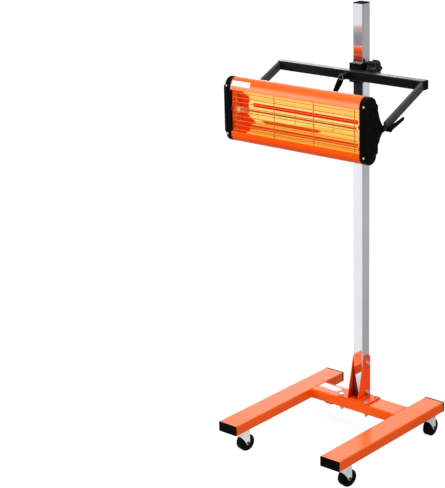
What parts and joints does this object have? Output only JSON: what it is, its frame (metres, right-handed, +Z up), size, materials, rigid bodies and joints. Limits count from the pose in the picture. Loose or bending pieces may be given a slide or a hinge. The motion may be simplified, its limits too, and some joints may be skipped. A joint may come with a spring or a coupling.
{
  "type": "infrared paint curing lamp",
  "caption": "Wheeled floor stand with an infrared heating head on a sliding collar and tilting yoke, for drying paint and filler on vehicle panels",
  "frame": {"origin": "middle of the stand's footprint, on the floor under the casters", "axes": "+Z is up along the mast, -Y is the side that the lamp faces, +X is the side with the height knob"},
  "size_m": [0.6012, 0.5976, 1.4914],
  "materials": {
    "orange_paint": "glossy orange powder coat",
    "black_paint": "satin black powder coat",
    "black_plastic": "black moulded plastic, satin",
    "wheel_rubber": "solid black rubber",
    "mast_chrome": "chromed steel tube",
    "zinc_plate": "bright zinc plate",
    "polished_sheet": "polished reflector sheet",
    "grille_wire": "bright drawn wire",
    "quartz_glass": "clear quartz, lit from inside",
    "hot_filament": "glowing wound filament",
    "ceramic": "white ceramic"
  },
  "bodies": {
    "base": {"left_rail": "orange_paint", "right_rail": "orange_paint", "cross_member": "orange_paint", "rail_plug_front_left": "black_plastic", "rail_plug_front_right": "black_plastic", "rail_plug_rear_left": "black_plastic", "rail_plug_rear_right": "black_plastic", "mast_bracket": "orange_paint", "plate_bolt_front_left": "zinc_plate", "plate_bolt_front_right": "zinc_plate", "plate_bolt_rear_left": "zinc_plate", "plate_bolt_rear_right": "zinc_plate", "mast_bolt_lower": "zinc_plate", "mast_bolt_upper": "zinc_plate", "mast_tube": "mast_chrome", "mast_plug": "black_plastic", "caster_stem_front_left": "zinc_plate", "caster_stem_front_right": "zinc_plate", "caster_stem_rear_left": "zinc_plate", "caster_stem_rear_right": "zinc_plate"},
    "caster_front_left": {"caster_fork_front_left": "zinc_plate", "caster_axle_front_left": "zinc_plate"},
    "wheel_front_left": {"caster_wheel_front_left": "wheel_rubber"},
    "caster_front_right": {"caster_fork_front_right": "zinc_plate", "caster_axle_front_right": "zinc_plate"},
    "wheel_front_right": {"caster_wheel_front_right": "wheel_rubber"},
    "caster_rear_left": {"caster_fork_rear_left": "zinc_plate", "caster_axle_rear_left": "zinc_plate"},
    "wheel_rear_left": {"caster_wheel_rear_left": "wheel_rubber"},
    "caster_rear_right": {"caster_fork_rear_right": "zinc_plate", "caster_axle_rear_right": "zinc_plate"},
    "wheel_rear_right": {"caster_wheel_rear_right": "wheel_rubber"},
    "collar": {"collar": "black_paint", "swivel_bolt": "zinc_plate", "swivel_bush": "black_plastic"},
    "height_knob": {"collar_knob": "black_plastic"},
    "yoke": {"yoke_beam": "black_paint", "beam_plug_left": "black_plastic", "beam_plug_right": "black_plastic", "yoke_arm_left": "black_paint", "yoke_arm_right": "black_paint"},
    "swivel_lever": {"swivel_clamp_lever": "black_plastic"},
    "lamp_head": {"lamp_housing": "orange_paint", "reflector": "polished_sheet", "end_cap_left": "black_plastic", "end_cap_right": "black_plastic", "cable_gland": "black_plastic", "grille": "grille_wire", "quartz_tube": "quartz_glass", "filament": "hot_filament", "tube_holder_left": "ceramic", "tube_holder_right": "ceramic", "pivot_bolt_left": "zinc_plate", "pivot_bolt_right": "zinc_plate"},
    "tilt_lever": {"tilt_clamp_lever": "black_plastic"}
  },
  "joints": [
    {"name": "swivel_front_left", "type": "hinge", "parent": "base", "child": "caster_front_left", "pos_m": [-0.2175, -0.236, 0.088], "axis": [0, 0, 1], "continuous": true},
    {"name": "roll_front_left", "type": "hinge", "parent": "caster_front_left", "child": "wheel_front_left", "pos_m": [-0.21293, -0.21448, 0.03], "axis": [0.9781, -0.2079, 0], "continuous": true},
    {"name": "swivel_front_right", "type": "hinge", "parent": "base", "child": "caster_front_right", "pos_m": [0.2125, -0.236, 0.088], "axis": [0, 0, 1], "continuous": true},
    {"name": "roll_front_right", "type": "hinge", "parent": "caster_front_right", "child": "wheel_front_right", "pos_m": [0.21782, -0.21465, 0.03], "axis": [0.9703, -0.2419, 0], "continuous": true},
    {"name": "swivel_rear_left", "type": "hinge", "parent": "base", "child": "caster_rear_left", "pos_m": [-0.2175, 0.2468, 0.088], "axis": [0, 0, 1], "continuous": true},
    {"name": "roll_rear_left", "type": "hinge", "parent": "caster_rear_left", "child": "wheel_rear_left", "pos_m": [-0.2175, 0.2688, 0.03], "axis": [1, 0, 0], "continuous": true},
    {"name": "swivel_rear_right", "type": "hinge", "parent": "base", "child": "caster_rear_right", "pos_m": [0.2125, 0.2468, 0.088], "axis": [0, 0, 1], "continuous": true},
    {"name": "roll_rear_right", "type": "hinge", "parent": "caster_rear_right", "child": "wheel_rear_right", "pos_m": [0.2125, 0.2688, 0.03], "axis": [1, 0, 0], "continuous": true},
    {"name": "collar_slide", "type": "slide", "parent": "base", "child": "collar", "axis": [0, 0, 1], "range_m": [-0.75, 0.18]},
    {"name": "height_knob_turn", "type": "hinge", "parent": "collar", "child": "height_knob", "pos_m": [0.0275, 0.1616, 1.281], "axis": [1, 0, 0], "range_deg": [0, 360]},
    {"name": "yoke_swivel", "type": "hinge", "parent": "collar", "child": "yoke", "pos_m": [-0.0025, 0.1043, 1.2665], "axis": [0, 1, 0], "range_deg": [-90, 90]},
    {"name": "swivel_lever_turn", "type": "hinge", "parent": "collar", "child": "swivel_lever", "pos_m": [-0.0025, 0.0716, 1.2665], "axis": [0, -1, 0], "range_deg": [0, 180]},
    {"name": "head_tilt", "type": "hinge", "parent": "yoke", "child": "lamp_head", "pos_m": [-0.0025, -0.097, 1.1685], "axis": [1, 0, 0], "range_deg": [-75, 90]},
    {"name": "tilt_lever_turn", "type": "hinge", "parent": "yoke", "child": "tilt_lever", "pos_m": [0.294, -0.097, 1.1685], "axis": [1, 0, 0], "range_deg": [0, 180]}
  ]
}
